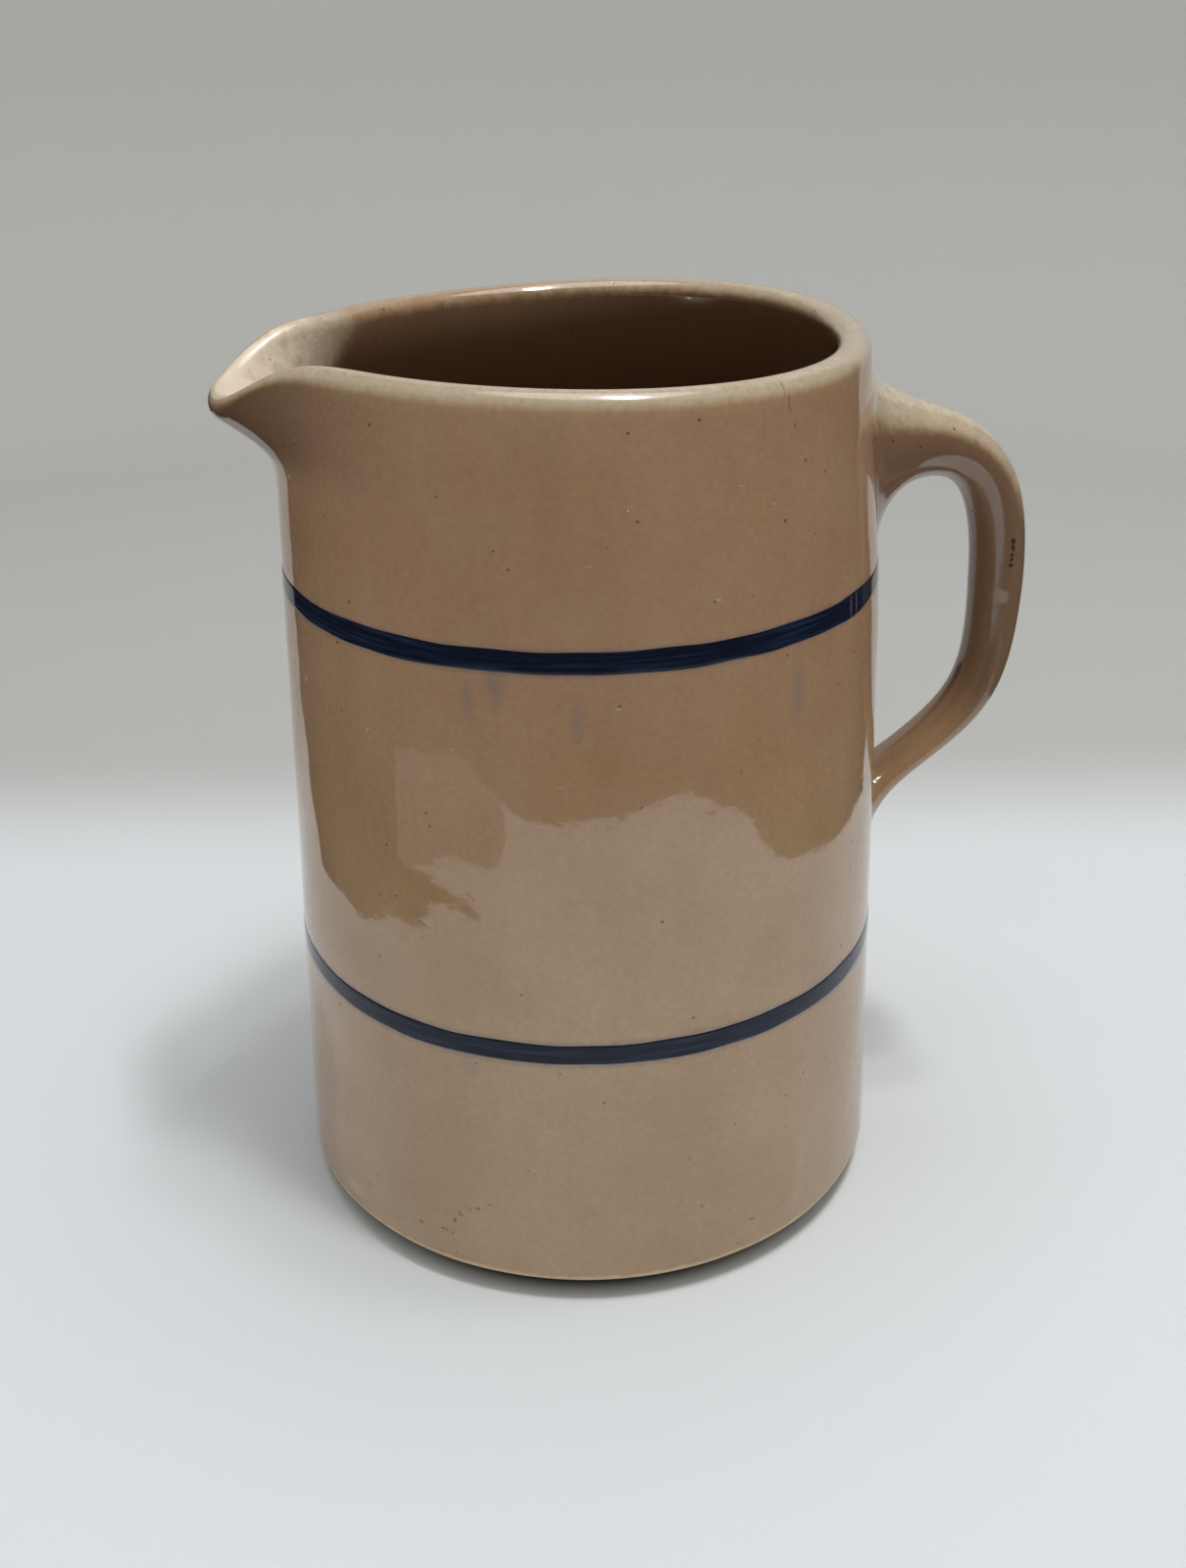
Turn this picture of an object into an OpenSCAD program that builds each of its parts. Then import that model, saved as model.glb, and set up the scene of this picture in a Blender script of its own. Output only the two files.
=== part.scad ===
// Straight-sided stoneware pitcher: a thrown body with a pulled pouring lip,
// a strap handle luted to the wall and two painted slip bands.
// Millimetres, +Z up. The origin is the middle of the foot, on the table.
// The lip points to -X and the handle to +X.

/* [Body] */
// Height of the rim above the table
height = 225.5; // [208:0.5:244]
// Diameter to which the wall would widen at the table
base_d = 156.2; // [146:0.2:166]
// Diameter of the wall at the rim
rim_d = 143.5; // [136:0.5:152]
// Thickness of the wall and of its round rim
wall = 8; // [6:0.5:9]
// Thickness of the floor
floor_t = 10; // [7:0.5:14]
// Height of the bevel that lifts the wall's lower edge off the table
foot_bevel = 6; // [3:0.5:8]
// Width of the bevel under the wall's lower edge
foot_inset = 9; // [6:0.5:12]
// Radius of the wall's lower edge
foot_edge = 1.5; // [1:0.5:3]
// Radius of the inner corner between floor and wall
inner_corner = 12; // [6:1:16]

/* [Pouring lip] */
// Distance that the tip of the lip is pulled out from the rim
lip_reach = 16; // [8:0.5:20]
// Distance that the tip of the lip hangs below the rim
lip_drop = 9.5; // [4:0.5:12]
// Angle from the tip at which the pull has fallen to about a third
lip_angle = 21; // [16:0.5:22]
// Angle from the tip at which the drop has fallen to about a third
drop_angle = 17; // [13:0.5:20]
// Thickness of the lip at its tip
lip_t = 6; // [4:0.5:8]
// Depth below the rim at which the wall turns out into the lip
lip_turn = 24.5; // [20:0.5:28]
// Depth below the rim at which the pulled part of the wall starts
lip_depth = 40; // [34:1:48]

/* [Handle] */
// Distance from the axis to the middle of the strap at its furthest
handle_reach = 110; // [105:1:120]
// Depth below the rim of the strap's upper end
handle_top = 31; // [29:0.5:33]
// Height above the table of the strap's lower end
handle_foot = 93; // [88:0.5:98]
// Thickness of the strap at the upper end
strap_top_t = 15; // [12:0.5:16.5]
// Thickness of the strap halfway down
strap_mid_t = 12.2; // [10:0.2:14]
// Thickness of the strap at the lower end
strap_foot_t = 6; // [5:0.5:9]
// Width of the strap at the upper end
strap_top_w = 19; // [16:0.5:24]
// Width of the strap at the lower end
strap_foot_w = 16; // [14:0.5:20]
// Distance that the strap's lower end is wiped down the wall
tail_drop = 9; // [4:0.5:12]
// Thickness of the luting slip under each end of the strap
luting_t = 0.8; // [0.4:0.1:1.5]

/* [Bands] */
// Depth of the upper band's middle below the rim
upper_band_drop = 56; // [54:0.5:62]
// Height of the lower band's middle above the table
lower_band_z = 72.5; // [44:0.5:77]
// Width of a band
band_w = 5.7; // [3:0.1:7]
// Thickness of the painted slip
band_t = 0.3; // [0.2:0.1:0.5]

/* [Hidden] */
$fn = 96;

glaze_tan = "#bda384";
clay_tan = "#c9ad83";
slip_blue = "#1d2740";

base_r = base_d / 2;
rim_r = rim_d / 2;
// Rise of the bevel under the wall's lower edge, as an angle
foot_slope = atan2(foot_bevel, foot_inset);
// Height of the middle of the lower edge's round
edge_z = foot_bevel + foot_edge;

// The lip's swell is steep-sided and round-topped: powers of its bell curves
lip_power = 2.9;
drop_power = 3.5;
// Half of the sector that is made as the spout, where the swell has died away
spout_half = 44;
spout_step = 2;
spout_z = height - lip_depth;
turn_z = height - lip_turn;
roll_steps = 12;
turn_steps = 10;
corner_steps = 8;

// Spine of the strap: two cubic curves that meet upright at the furthest point.
// It leaves the wall level, turns down at the shoulder and turns back at the knee.
strap_in_r = rim_r - wall / 2;
strap_top_z = height - handle_top;
shoulder_in = 13.5;
shoulder_rise = 1;
shoulder_drop = 3.5;
strap_mid_drop = 40.5;
strap_mid_z = strap_top_z - strap_mid_drop;
knee_in = 6.5;
knee_rise = 26;
upper_spine = [
    [strap_in_r, strap_top_z],
    [handle_reach - shoulder_in, strap_top_z + shoulder_rise],
    [handle_reach, strap_top_z - shoulder_drop],
    [handle_reach, strap_mid_z]
];
lower_spine = [
    [handle_reach, strap_mid_z],
    [handle_reach, handle_foot + knee_rise],
    [handle_reach - knee_in, handle_foot + knee_rise],
    [strap_in_r, handle_foot]
];
// Rounded-rectangle power of the strap's section, and the points round it
strap_power = 2.1;
strap_sides = 24;
strap_rings = 56;
// Swell of the strap where it runs into the wall, and how far the swell reaches
upper_flare = 1.6;
upper_flare_len = 6.8;
lower_flare = 1.25;
lower_flare_len = 3.5;
// How far out from the wall the wiped tail starts
tail_len = 4;
// Rings that hold the parts of the strap at the wall
root_rings = 16;

// Radius of the outer wall at height z
function outer_r(z) = base_r + (rim_r - base_r) * z / height;
function inner_r(z) = outer_r(z) - wall;

// Points of an arc about c from angle a0 to a1
function arc(c, r, a0, a1, n) =
    [for (i = [0:n]) let (a = a0 + (a1 - a0) * i / n) c + r * [cos(a), sin(a)]];

// Share of the lip's swell that is left at angle a from its tip
function bell(a, half, power) = exp(-pow(abs(a) / half, power));

// Half thickness and middle of the round edge at angle a from the tip
function edge_h(a) = wall / 2 + (lip_t - wall) / 2 * bell(a, lip_angle, lip_power);
function edge_c(a) = [
    rim_r - wall / 2 + lip_reach * bell(a, lip_angle, lip_power),
    height - edge_h(a) - lip_drop * bell(a, drop_angle, drop_power)
];
// Direction of the wall at the edge, as an angle
function edge_dir(a) =
    let (d = edge_c(a) - [outer_r(turn_z) - wall / 2, turn_z]) atan2(d[1], d[0]);
// The round edge, from the outside over the top to the inside
function edge_roll(a) =
    arc(edge_c(a), edge_h(a), edge_dir(a) - 90, edge_dir(a) + 90, roll_steps);

// Curve from p0 to p3 that hugs the corner k
function turn(p0, k, p3) = [
    for (i = [0:turn_steps - 1])
        let (u = i / turn_steps, v = 1 - u) v * v * v * p0 + 3 * u * v * k + u * u * u * p3
];
function reversed(list) = [for (i = [len(list) - 1:-1:0]) list[i]];

// Closed section of the pulled wall at angle a from the tip
function lip_section(a) =
    let (roll = edge_roll(a))
    concat(
        turn([outer_r(spout_z), spout_z], [outer_r(turn_z), turn_z], roll[0]),
        roll,
        reversed(turn([inner_r(spout_z), spout_z], [inner_r(turn_z), turn_z], roll[roll_steps]))
    );

// The wall's lower edge, from the bevel up to the wall
function lower_edge() =
    arc([outer_r(edge_z) - foot_edge, edge_z], foot_edge, foot_slope - 90, 0, corner_steps);

// Section of the thrown body, from the middle of the foot round to the floor
function body_section() = concat(
    [[0, 0], lower_edge()[0] - lower_edge()[0][1] * [1 / tan(foot_slope), 1]],
    lower_edge(),
    edge_roll(90),
    arc([inner_r(floor_t + inner_corner) - inner_corner, floor_t + inner_corner],
        inner_corner, 0, -90, corner_steps),
    [[0, floor_t]]
);

// Closed skin over rings of n points each, with flat ends
module skin(rings) {
    n = len(rings[0]);
    last = len(rings) - 1;
    points = [for (ring = rings) each ring];
    sides = [
        for (i = [0:last - 1], j = [0:n - 1])
            let (k = (j + 1) % n) [i * n + j, i * n + k, (i + 1) * n + k, (i + 1) * n + j]
    ];
    first_end = [for (j = [n - 1:-1:0]) j];
    last_end = [for (j = [0:n - 1]) last * n + j];
    polyhedron(points, concat(sides, [first_end, last_end]));
}

// Point and direction of a cubic curve at u
function cubic(p, u) =
    let (v = 1 - u)
    v * v * v * p[0] + 3 * v * v * u * p[1] + 3 * v * u * u * p[2] + u * u * u * p[3];
function cubic_dir(p, u) =
    let (v = 1 - u)
    v * v * (p[1] - p[0]) + 2 * v * u * (p[2] - p[1]) + u * u * (p[3] - p[2]);

function spine(s) = s < 1 ? cubic(upper_spine, s) : cubic(lower_spine, s - 1);
function spine_normal(s) =
    let (d = s < 1 ? cubic_dir(upper_spine, s) : cubic_dir(lower_spine, s - 1))
    [-d[1], d[0]] / norm(d);

function strap_t(s) = s < 1
    ? strap_top_t + (strap_mid_t - strap_top_t) * s
    : strap_mid_t + (strap_foot_t - strap_mid_t) * (s - 1);
function strap_w(s) = strap_top_w + (strap_foot_w - strap_top_w) * s / 2;
function rounded(x) = sign(x) * pow(abs(x), 2 / strap_power);

// Point of the strap at place s and offset o from its spine
function strap_at(s, o) =
    let (m = spine(s), n = spine_normal(s)) [m[0] + n[0] * o[0], o[1], m[1] + n[1] * o[0]];
function flare(s, d) = s < 1
    ? upper_flare * exp(-d / upper_flare_len)
    : lower_flare * exp(-d / lower_flare_len);
// Drop of the wiped tail on the outer side of the strap's lower end
function tail(s, a, d) = s < 1 ? 0 : tail_drop * max(0, cos(a)) * exp(-d / tail_len);
// Swell and tail spread the strap along the round wall: a point keeps its distance from the wall
function strap_point(s, a) =
    let (
        o = [strap_t(s) / 2 * rounded(cos(a)), strap_w(s) / 2 * rounded(sin(a))],
        p = strap_at(s, o),
        gap = norm([p[0], p[1]]) - outer_r(p[2]),
        d = max(0, gap),
        q = strap_at(s, o * (1 + flare(s, d))) - [0, 0, tail(s, a, d)],
        k = (outer_r(q[2]) + gap) / norm([q[0], q[1]])
    )
    [q[0] * k, q[1] * k, q[2]];

// Place along the spine of ring i, closer together towards both ends
function ring_place(i) = 1 - cos(180 * i / strap_rings);

// Strap from ring i0 to ring i1, with its ends inside the wall
module strap(i0, i1) {
    skin([
        for (i = [i0:i1])
            [for (j = [0:strap_sides - 1]) strap_point(ring_place(i), 360 * j / strap_sides)]
    ]);
}

// Cone of the outer wall, made larger all round by extra
module wall_cone(extra) {
    cylinder(h = height, r1 = base_r + extra, r2 = rim_r + extra);
}

// Thin layer of slip between the wall and the strap
module luting(i0, i1) {
    intersection() {
        strap(i0, i1);
        difference() {
            wall_cone(luting_t);
            wall_cone(0);
        }
    }
}

// Band of slip round the wall
module band(z) {
    rotate_extrude()
        polygon([
            [outer_r(z - band_w / 2), z - band_w / 2],
            [outer_r(z - band_w / 2) + band_t, z - band_w / 2],
            [outer_r(z + band_w / 2) + band_t, z + band_w / 2],
            [outer_r(z + band_w / 2), z + band_w / 2]
        ]);
}

module body() {
    color(glaze_tan)
        difference() {
            rotate_extrude() polygon(body_section());
            translate([0, 0, spout_z])
                linear_extrude(lip_depth + wall)
                    polygon([
                        [0, 0],
                        [-base_d, base_d * tan(spout_half)],
                        [-base_d, -base_d * tan(spout_half)]
                    ]);
        }
}

module spout() {
    color(glaze_tan)
        skin([
            for (a = [-spout_half:spout_step:spout_half])
                [for (p = lip_section(a)) [p[0] * cos(180 + a), p[0] * sin(180 + a), p[1]]]
        ]);
}

module handle() {
    color(glaze_tan)
        difference() {
            strap(0, strap_rings);
            wall_cone(luting_t);
        }
}

module upper_luting() {
    color(clay_tan) luting(0, root_rings);
}

module lower_luting() {
    color(clay_tan) luting(strap_rings - root_rings, strap_rings);
}

module upper_band() {
    color(slip_blue) band(height - upper_band_drop);
}

module lower_band() {
    color(slip_blue) band(lower_band_z);
}

body();
spout();
handle();
upper_luting();
lower_luting();
upper_band();
lower_band();
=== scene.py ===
"""Builds the looks of a straight-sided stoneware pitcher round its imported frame."""

import math

import bpy
from bpy.props import FloatProperty, FloatVectorProperty, PointerProperty
from mathutils import Matrix, Vector, kdtree, noise


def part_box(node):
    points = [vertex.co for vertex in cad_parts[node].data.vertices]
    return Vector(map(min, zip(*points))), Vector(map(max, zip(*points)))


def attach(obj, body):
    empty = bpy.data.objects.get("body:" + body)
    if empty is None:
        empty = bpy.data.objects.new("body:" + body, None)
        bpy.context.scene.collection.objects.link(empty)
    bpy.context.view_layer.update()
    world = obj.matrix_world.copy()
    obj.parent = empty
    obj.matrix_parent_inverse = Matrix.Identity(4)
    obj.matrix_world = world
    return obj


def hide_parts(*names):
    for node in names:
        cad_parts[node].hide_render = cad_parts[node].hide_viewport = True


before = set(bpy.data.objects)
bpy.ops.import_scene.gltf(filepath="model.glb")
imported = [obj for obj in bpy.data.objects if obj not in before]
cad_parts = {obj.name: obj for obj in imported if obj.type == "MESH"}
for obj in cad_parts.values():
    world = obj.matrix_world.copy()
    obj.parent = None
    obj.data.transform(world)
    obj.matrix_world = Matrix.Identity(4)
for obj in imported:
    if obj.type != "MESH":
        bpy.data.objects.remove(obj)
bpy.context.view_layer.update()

bl_info = {
    "name": "Stoneware pitcher",
    "version": (1, 0, 0),
    "blender": (4, 5, 0),
    "location": "View3D > Sidebar > Pitcher",
    "description": "Throws the wall, pulls the lip and the handle and paints the slip bands",
    "category": "Object",
}

MM = 0.001
FULL_TURN = 2 * math.pi

# The pitcher is turned by this much from square to the camera
PHOTO_TURN = math.radians(10)

# The lip's swell is steep-sided and round-topped: powers of its bell curves
LIP_POWER = 2.9
DROP_POWER = 3.5

# Columns round the wall, and rows along each stretch of its section
COLUMNS = 360
CORNER_ROWS = 8
WALL_ROWS = 104
TURN_ROWS = 18
ROLL_ROWS = 16
INNER_ROWS = 22

# Rounded-rectangle power of the strap's section, how much its inner side is narrower, its points and rings
STRAP_POWER = 2.1
STRAP_EGG = 0.10
STRAP_SIDES = 64
STRAP_RINGS = 200


def linear(code):
    """Linear RGB of an sRGB hex colour."""
    values = [int(code[i:i + 2], 16) / 255 for i in (1, 3, 5)]
    return tuple(v / 12.92 if v <= 0.04045 else ((v + 0.055) / 1.055) ** 2.4 for v in values)


def length(name, description, default):
    """A length in metres that a user may change."""
    return FloatProperty(name=name, description=description, default=default, unit="LENGTH", precision=4)


def angle(name, description, degrees):
    """An angle that a user may change."""
    return FloatProperty(
        name=name, description=description, default=math.radians(degrees), subtype="ANGLE"
    )


def colour(name, description, code):
    """A surface colour that a user may change."""
    return FloatVectorProperty(
        name=name, description=description, default=linear(code), subtype="COLOR", min=0, max=1
    )


def band_middle(node):
    """Height of the middle of a band in the frame."""
    low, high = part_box(node)
    return (low.z + high.z) / 2


class PitcherSizes(bpy.types.PropertyGroup):
    """Sizes of the thrown wall, the pulled lip, the strap handle and the bands"""

    height: length("Height", "Height of the rim above the table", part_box("body")[1].z)
    base_d: length("Base diameter", "Diameter to which the wall would widen at the table", 0.1562)
    rim_d: length("Rim diameter", "Diameter of the wall at the rim", 0.1435)
    wall: length("Wall", "Thickness of the wall and of its round rim", 0.008)
    floor_t: length("Floor", "Thickness of the floor", 0.010)
    foot_bevel: length("Foot bevel", "Height of the bevel that lifts the wall's lower edge", 0.006)
    foot_inset: length("Foot inset", "Width of the bevel under the wall's lower edge", 0.009)
    foot_edge: length("Foot edge", "Radius of the wall's lower edge", 0.0015)
    inner_corner: length("Inner corner", "Radius between floor and wall inside", 0.012)

    lip_reach: length("Lip reach", "Distance that the tip of the lip is pulled out", 0.016)
    lip_drop: length("Lip drop", "Distance that the tip hangs below the rim", 0.0095)
    lip_angle: angle("Lip angle", "Angle from the tip at which the pull has mostly died away", 21)
    drop_angle: angle("Drop angle", "Angle from the tip at which the drop has mostly died away", 17)
    lip_t: length("Lip thickness", "Thickness of the lip at its tip", 0.006)
    lip_turn: length("Lip turn", "Depth below the rim at which the wall turns out", 0.0245)
    lip_depth: length("Lip depth", "Depth below the rim at which the pull starts", 0.040)

    handle_reach: length("Handle reach", "Distance from the axis to the strap's furthest middle", 0.110)
    handle_top: length("Handle top", "Depth below the rim of the strap's upper end", 0.031)
    handle_foot: length("Handle foot", "Height above the table of the strap's lower end", 0.093)
    strap_top_t: length("Strap top thickness", "Thickness of the strap at its upper end", 0.0157)
    strap_mid_t: length("Strap middle thickness", "Thickness of the strap halfway down", 0.0131)
    strap_foot_t: length("Strap foot thickness", "Thickness of the strap at its lower end", 0.006)
    strap_top_w: length("Strap top width", "Width of the strap at its upper end", 0.019)
    strap_foot_w: length("Strap foot width", "Width of the strap at its lower end", 0.016)

    upper_band_z: length("Upper band", "Height of its middle", band_middle("upper_band"))
    lower_band_z: length("Lower band", "Height of its middle", band_middle("lower_band"))
    band_w: length("Band width", "Width of a painted band", 0.0057)


class PitcherColours(bpy.types.PropertyGroup):
    """Colours of the glaze, the slip and the clay"""

    glaze: colour("Glaze", "Tan glaze where it lies evenly", "#a58765")
    glaze_warm: colour("Warm glaze", "Glaze where it pools a little thicker", "#9d7c59")
    glaze_strap: colour("Strap glaze", "Tan glaze on the strap, before it gathers", "#a07f5e")
    glaze_grey: colour("Grey glaze", "Cloudy grey-pink breath in the glaze", "#a27c65")
    # Painted shade: dark brown on the flank under the lip and along the strap
    lip_and_strap_shade: colour("Pooled glaze", "Brown glaze pooled under the lip and on the strap", "#4c3626")
    # Cream where the glaze is thin or worn, partly a painted highlight on the tops of rim and strap
    glaze_thin_and_light: colour("Thin glaze", "Cream where the glaze drew thin over an edge", "#bdab91")
    # Palest glaze in the pouring channel and on the tops of rim and strap, partly painted light
    glaze_worn_and_light: colour("Worn glaze", "Pale glaze in the pouring channel, scoured by use", "#eed9bf")
    glaze_ochre: colour("Ochre glaze", "Edge of the thin glaze", "#b5966b")
    # Painted shade: dark brown for the inside of the pitcher, where little light reaches
    inside_shade: colour("Inner glaze", "Browner glaze inside, poured in and drained", "#4d3220")
    speck: colour("Iron speck", "Iron that bled through the glaze", "#3c2617")
    clay: colour("Bare clay", "Buff clay of the unglazed foot edge", "#cdb48c")
    dirt: colour("Dirt", "Old dirt in scratches and pores", "#43301f")
    cobalt: colour("Cobalt slip", "Slip where the brush left it thick", "#121826")
    cobalt_thin: colour("Thin cobalt slip", "Slip where the brush dragged it thin", "#33425f")
    cobalt_veil: colour("Cobalt veil", "Cobalt that ran a little in the glaze", "#6f6a6c")
    table: colour("Table", "White paper under the pitcher", "#e7eaec")
    backdrop: colour("Backdrop", "Grey paper behind the pitcher", "#c4c3c0")


def sizes():
    return bpy.context.scene.pitcher_sizes


def colours():
    return bpy.context.scene.pitcher_colours


# Shape of the wall

def outer_r(s, z):
    """Radius of the straight outer wall at height z."""
    return s.base_d / 2 + (s.rim_d - s.base_d) / 2 * z / s.height


def arc(centre, radius, start, end, steps):
    """Points of an arc in the section plane, angles in radians."""
    turns = [start + (end - start) * i / steps for i in range(steps + 1)]
    return [centre + radius * Vector((math.cos(t), math.sin(t))) for t in turns]


def bell(a, half, power):
    """Bell curve that is 1 at angle 0 and has mostly died away at the angle half."""
    return math.exp(-((abs(a) / half) ** power))


def hugging_curve(start, corner, end, steps):
    """Points from start towards end that hug a corner, without end itself."""
    points = []
    for i in range(steps):
        u = i / steps
        v = 1 - u
        points.append(v * v * v * start + 3 * u * v * corner + u * u * u * end)
    return points


def wall_section(s, a):
    """Section of the wall at angle a from the lip, from the foot round to the floor."""
    def outside(z):
        return Vector((outer_r(s, z), z))

    def inside(z):
        return Vector((outer_r(s, z) - s.wall, z))

    turn_z = s.height - s.lip_turn
    spout_z = s.height - s.lip_depth
    swell = bell(a, s.lip_angle, LIP_POWER)
    half = s.wall / 2 + (s.lip_t - s.wall) / 2 * swell
    edge = Vector((
        s.rim_d / 2 - s.wall / 2 + s.lip_reach * swell,
        s.height - half - s.lip_drop * bell(a, s.drop_angle, DROP_POWER),
    ))
    rise = edge - Vector((outer_r(s, turn_z) - s.wall / 2, turn_z))
    heading = math.atan2(rise.y, rise.x)
    quarter = math.pi / 2
    roll = arc(edge, half, heading - quarter, heading + quarter, ROLL_ROWS)

    slope = math.atan2(s.foot_bevel, s.foot_inset)
    edge_z = s.foot_bevel + s.foot_edge
    lower_edge = arc(
        Vector((outer_r(s, edge_z) - s.foot_edge, edge_z)), s.foot_edge, slope - quarter, 0, CORNER_ROWS
    )
    foot_r = lower_edge[0].x - lower_edge[0].y / math.tan(slope)
    low = s.floor_t + s.inner_corner
    well = Vector((outer_r(s, low) - s.wall - s.inner_corner, low))
    up = [edge_z + (spout_z - edge_z) * i / WALL_ROWS for i in range(1, WALL_ROWS)]
    down = [spout_z + (low - spout_z) * i / INNER_ROWS for i in range(INNER_ROWS)]
    inner_turn = hugging_curve(inside(spout_z), inside(turn_z), roll[-1], TURN_ROWS)
    return (
        [Vector((0, 0)), Vector((foot_r, 0))]
        + lower_edge
        + [outside(z) for z in up]
        + hugging_curve(outside(spout_z), outside(turn_z), roll[0], TURN_ROWS)
        + roll
        + inner_turn[:0:-1]
        + [inside(z) for z in down]
        + arc(well, s.inner_corner, 0, -quarter, CORNER_ROWS)
        + [Vector((0, s.floor_t))]
    )


# First rows of the wall's lower edge and of the round rim in a section
EDGE_START = 2
ROLL_START = EDGE_START + CORNER_ROWS + 1 + (WALL_ROWS - 1) + TURN_ROWS


def smooth(low, high, x):
    """Smooth step from 0 at low to 1 at high."""
    t = min(1, max(0, (x - low) / (high - low)))
    return t * t * (3 - 2 * t)


# The waves of rim_sway and rim_lift were fitted outside this file, to the rim in the photo
def rim_sway(az):
    """How far pulling the lip drew the round rim in or out at azimuth az."""
    t = az + PHOTO_TURN
    return MM * (
        -0.70 * math.cos(t) + 0.24 * math.sin(t)
        - 1.55 * math.cos(2 * t) + 0.12 * math.sin(2 * t)
        - 1.01 * math.cos(3 * t) + 0.56 * math.sin(3 * t)
    )


# The rim stands higher beside the lip: azimuth of that shoulder from the camera's right, and its half width
SHOULDER = math.radians(155)
SHOULDER_HALF = math.radians(36)


def rim_lift(az):
    """How far the rim stands above or below its level at azimuth az."""
    t = az + PHOTO_TURN
    shoulder = bell(math.remainder(t - SHOULDER, FULL_TURN), SHOULDER_HALF, 2)
    return MM * (
        -0.59 + 0.67 * math.cos(t) - 0.82 * math.sin(t)
        - 0.49 * math.cos(2 * t) + 0.86 * math.sin(2 * t)
        + 1.3 * shoulder
    )


# The rim's oval dies away down to here
SWAY_LOW = 0.153
# Slow lumps that the thrower's fingers left: spacing and height
LUMP_SPACING = 0.030
LUMP_HEIGHT = 0.20 * MM
RIPPLE_SPACING = 0.011
RIPPLE_HEIGHT = 0.06 * MM

# Glaze tongue and blisters near the foot: azimuth, height, half width, half height, swelling
BLISTERS = (
    (-58.8, 0.0305, 0.0062, 0.0165, 0.30 * MM),
    (-57.6, 0.0304, 0.0017, 0.0030, 0.35 * MM),
    (-57.9, 0.0190, 0.0016, 0.0022, 0.35 * MM),
    (-58.7, 0.0151, 0.0016, 0.0020, 0.35 * MM),
    (-68.2, 0.0151, 0.0020, 0.0020, -0.35 * MM),
)


def unevenness(s, az, z):
    """Height of the thrown wall's lumps above the true cone."""
    r = outer_r(s, z)
    p = Vector((r * math.cos(az), r * math.sin(az), z))
    lumps = LUMP_HEIGHT * noise.noise(p / LUMP_SPACING) + RIPPLE_HEIGHT * noise.noise(p / RIPPLE_SPACING)
    swelling = 0
    for degrees, middle, across, tall, rise in BLISTERS:
        aside = r * math.remainder(az - math.radians(degrees), FULL_TURN) / across
        above = (z - middle) / tall
        swelling += rise * math.exp(-((aside * aside + above * above) ** 2))
    return lumps + swelling


def sway(s, az, z):
    """Shift of the wall from the true cone at azimuth az and height z, without lumps."""
    return rim_sway(az) * smooth(SWAY_LOW, s.height, z)


def deselect_all():
    bpy.ops.object.select_all(action="DESELECT")


def finish_piece(name, material, nodes):
    """Name the active piece, smooth and dress it, and let it stand for its nodes."""
    piece = bpy.context.object
    piece.name = name
    piece.data.name = name
    bpy.ops.object.shade_smooth()
    piece.data.materials.clear()
    piece.data.materials.append(material)
    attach(piece, "root")
    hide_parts(*nodes)


def write_layer(piece, name, values):
    """Keep a value for each point of a piece, for its material to read."""
    layer = piece.data.attributes.new(name, "FLOAT", "POINT")
    layer.data.foreach_set("value", values)


def spin_profile(points, steps=COLUMNS, arc_angle=FULL_TURN):
    """Draw a profile in the XZ plane point by point and spin it round the Z axis."""
    deselect_all()
    bpy.ops.mesh.primitive_plane_add(size=MM)
    bpy.ops.object.mode_set(mode="EDIT")
    bpy.ops.mesh.select_mode(type="VERT")
    bpy.ops.mesh.merge(type="CENTER")
    bpy.ops.transform.translate(value=(points[0].x, 0, points[0].y))
    for here, there in zip(points, points[1:]):
        step = there - here
        bpy.ops.mesh.extrude_vertices_move(TRANSFORM_OT_translate={"value": (step.x, 0, step.y)})
    bpy.ops.mesh.select_all(action="SELECT")
    bpy.ops.mesh.spin(steps=steps, angle=arc_angle, center=(0, 0, 0), axis=(0, 0, 1))
    bpy.ops.mesh.select_all(action="SELECT")
    bpy.ops.mesh.remove_doubles(threshold=0.005 * MM)
    bpy.ops.mesh.normals_make_consistent(inside=False)
    bpy.ops.object.mode_set(mode="OBJECT")
    return bpy.context.object


def row_finder(points):
    """Tree that finds the row of the section that a point of the spun shape is on."""
    tree = kdtree.KDTree(len(points))
    for i, p in enumerate(points):
        tree.insert((p.x, 0, p.y), i)
    tree.balance()
    return tree


def hump(low, high, x):
    """Smooth hump, 0 at and beyond low and high and 1 halfway."""
    if x <= low or x >= high:
        return 0
    return math.sin(math.pi * (x - low) / (high - low)) ** 2


def plateau(rise, fall, x):
    """1 on a stretch that starts smoothly over rise and ends smoothly over fall, 0 beyond it."""
    return smooth(*rise, x) * (1 - smooth(*fall, x))


# Azimuths in degrees over which the rim's back starts and ends, and the dirt on its inner edge
BACK = (20, 110), (150, 172)
DIRTY = (-10, 30), (120, 172)
# Share of the thin glaze and its painted light that the rim's back lacks, and strength of the dirt
BACK_LOSS = 0.55
DIRT_STRENGTH = 0.5
# Stretches of the rim's roll, where 0 is its outer and 1 its inner edge: painted shade on the flank under the
# lip, dirt
LIP_SHADE_ROLL = (-0.8, -0.3), (0.15, 0.45)
DIRT_ROLL = 0.7, 1.1
# Angle from the lip's tip over which shade is painted on the flank under it
LIP_SHADE_ANGLE = math.radians(27)
# Angle over which its channel is pale, and the shares of that angle at the rim and low down
CHANNEL_ANGLE = math.radians(27)
CHANNEL_WIDEST = 1.3
CHANNEL_NARROWEST = 0.4
CHANNEL_POWER = 3
# Depths below the rim where the pale channel starts to fade and ends
CHANNEL_FADE = 0.013
CHANNEL_DEPTH = 0.030
# In the pouring channel the glaze is paler than thin: partly worn glaze, partly painted light
WORN_AND_LIGHT_CHANNEL = 2
# Share of the painted inner shade that is lifted just under the rim, and the depths over which that lift
# fades
INSIDE_LIFT = 0.08
INSIDE_LIFT_FADE = 0.006, 0.030


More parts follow.
